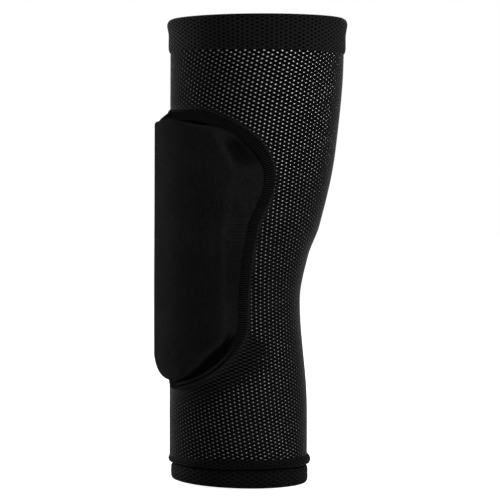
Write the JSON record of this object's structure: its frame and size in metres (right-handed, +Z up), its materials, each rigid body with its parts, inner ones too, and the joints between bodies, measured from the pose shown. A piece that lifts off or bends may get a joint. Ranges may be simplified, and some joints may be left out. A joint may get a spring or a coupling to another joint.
{
  "type": "elbow pad",
  "caption": "Black pull-on elbow sleeve of open mesh knit with folded hems and a raised foam pad under a smooth sewn-on cover, bending at the elbow.",
  "frame": {"origin": "centre of the lower hem's edge, on the surface that the sleeve stands on", "axes": "+Z up the arm from the forearm to the upper arm, -Y out of the pad at the back of the elbow, +Y out of the crook of the arm, +X to the side; the elbow bends about X"},
  "size_m": [0.1058, 0.1131, 0.27],
  "materials": {
    "knit": "matte",
    "cuff": "matte",
    "elastic": "matte",
    "foam": "matte",
    "cover": "matte",
    "seam": "matte"
  },
  "bodies": {
    "forearm_part": {"lower_cuff": "cuff", "lower_cuff_elastic": "elastic", "lower_sleeve": "knit", "elbow_sleeve": "knit", "pad_core_elbow": "foam", "pad_cover": "cover", "pad_edge_seam": "seam"},
    "upper_arm_part": {"upper_sleeve": "knit", "upper_cuff": "cuff", "upper_cuff_elastic": "elastic", "pad_core_upper": "foam"}
  },
  "joints": [
    {"name": "elbow_bend", "type": "hinge", "parent": "forearm_part", "child": "upper_arm_part", "pos_m": [0, 0, 0.128], "axis": [-1, 0, 0], "range_deg": [0, 95], "stiffness_Nm_per_rad": 0.3, "deforming": ["elbow_sleeve", "pad_cover", "pad_edge_seam"]}
  ]
}
